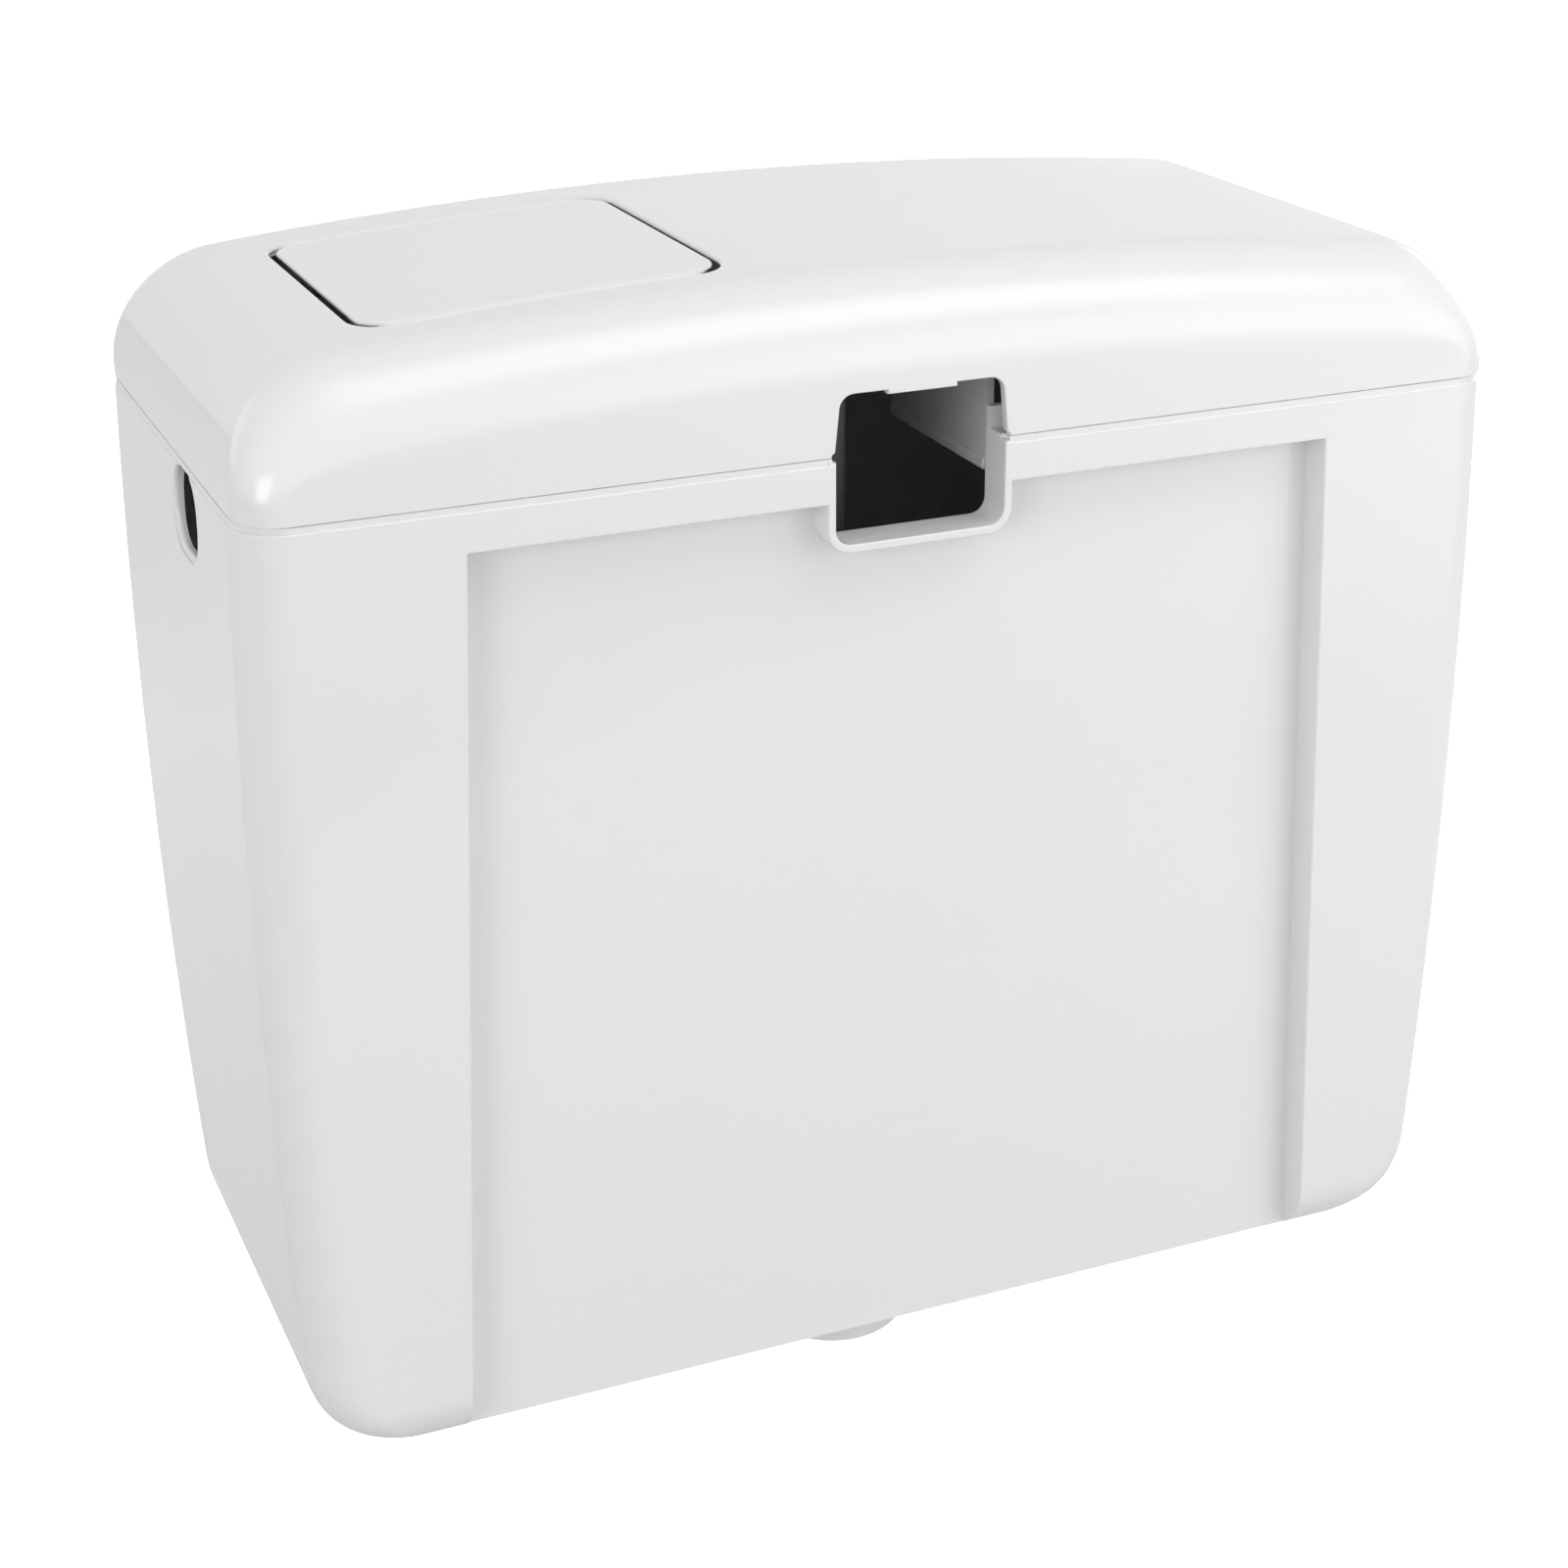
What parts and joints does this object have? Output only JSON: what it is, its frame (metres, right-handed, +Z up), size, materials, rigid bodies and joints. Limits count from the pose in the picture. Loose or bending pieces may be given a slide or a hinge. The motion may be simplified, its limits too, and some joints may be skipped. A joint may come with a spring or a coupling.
{
  "type": "toilet cistern",
  "caption": "White wall-hung plastic toilet cistern with arched lift-off lid, flush rocker plate, flush valve, float valve, rear and side water openings and bottom outlet spigot.",
  "frame": {"origin": "on the wall plane, on the cistern's middle line, level with the flat underside of the tank", "axes": "+X to the left of someone standing behind the cistern, towards the flush plate; +Y towards the wall; +Z up"},
  "size_m": [0.4064, 0.188, 0.3824],
  "materials": {
    "shell_white": "glossy moulded white plastic",
    "inner_white": "satin white moulding",
    "inner_grey": "satin grey moulding",
    "inner_blue": "satin blue moulding",
    "seal_black": "matt black rubber",
    "steel": "bright stainless steel"
  },
  "bodies": {
    "tank": {"tank_shell": "shell_white", "lever_bridge": "inner_grey", "lever_pin": "steel", "outlet_spigot": "inner_white", "outlet_washer": "seal_black", "outlet_nut": "inner_white", "valve_cage": "inner_grey", "fill_bracket": "inner_grey", "fill_body": "inner_white", "inlet_washer": "seal_black", "inlet_nut": "inner_white", "inlet_strainer": "inner_blue", "fill_cap": "inner_blue", "fill_axle": "steel", "drop_tube": "inner_white", "float_guide": "inner_grey"},
    "lid": {"lid_cover": "shell_white"},
    "rocker": {"flush_plate": "shell_white", "rocker_carrier": "inner_grey", "rocker_axle": "steel", "carrier_screws": "steel"},
    "flush_lever": {"lift_lever": "inner_blue"},
    "flush_valve": {"seal_carrier": "inner_grey", "valve_seal": "seal_black", "seal_ring": "inner_grey", "lift_tube": "inner_white", "valve_float": "inner_blue", "lift_rod": "inner_white", "lift_head": "inner_blue", "head_nut": "inner_grey"},
    "float": {"float_rod": "inner_white", "float_block": "inner_white", "float_clips": "inner_grey"},
    "fill_arm": {"fill_lever": "inner_blue"},
    "piston": {"fill_piston": "inner_grey", "piston_seal": "seal_black"}
  },
  "joints": [
    {"name": "lid_lift", "type": "slide", "parent": "tank", "child": "lid", "axis": [0, 0, 1], "range_m": [0, 0.15]},
    {"name": "plate_rock", "type": "hinge", "parent": "lid", "child": "rocker", "pos_m": [0.1004, -0.092, 0.34277], "axis": [0, 1, 0], "range_deg": [0, 8]},
    {"name": "lever_tilt", "type": "hinge", "parent": "tank", "child": "flush_lever", "pos_m": [0.1004, -0.065, 0.32677], "axis": [0, 1, 0], "range_deg": [0, 8]},
    {"name": "valve_lift", "type": "slide", "parent": "tank", "child": "flush_valve", "axis": [0, 0, 1], "range_m": [0, 0.01398]},
    {"name": "float_rise", "type": "slide", "parent": "tank", "child": "float", "axis": [0, 0, 1], "range_m": [0, 0.01456]},
    {"name": "fill_arm_tilt", "type": "hinge", "parent": "tank", "child": "fill_arm", "pos_m": [-0.108, -0.071, 0.2788], "axis": [0, 1, 0], "range_deg": [-20.01, 0]},
    {"name": "piston_close", "type": "slide", "parent": "tank", "child": "piston", "axis": [-1, 0, 0], "range_m": [0, 0.0048]}
  ],
  "couplings": [
    {"joint": "lever_tilt", "follows": "plate_rock", "ratio": 1},
    {"joint": "valve_lift", "follows": "plate_rock", "m_per_rad": 0.10007},
    {"joint": "fill_arm_tilt", "follows": "float_rise", "rad_per_m": -23.976},
    {"joint": "piston_close", "follows": "float_rise", "ratio": 0.32889}
  ]
}
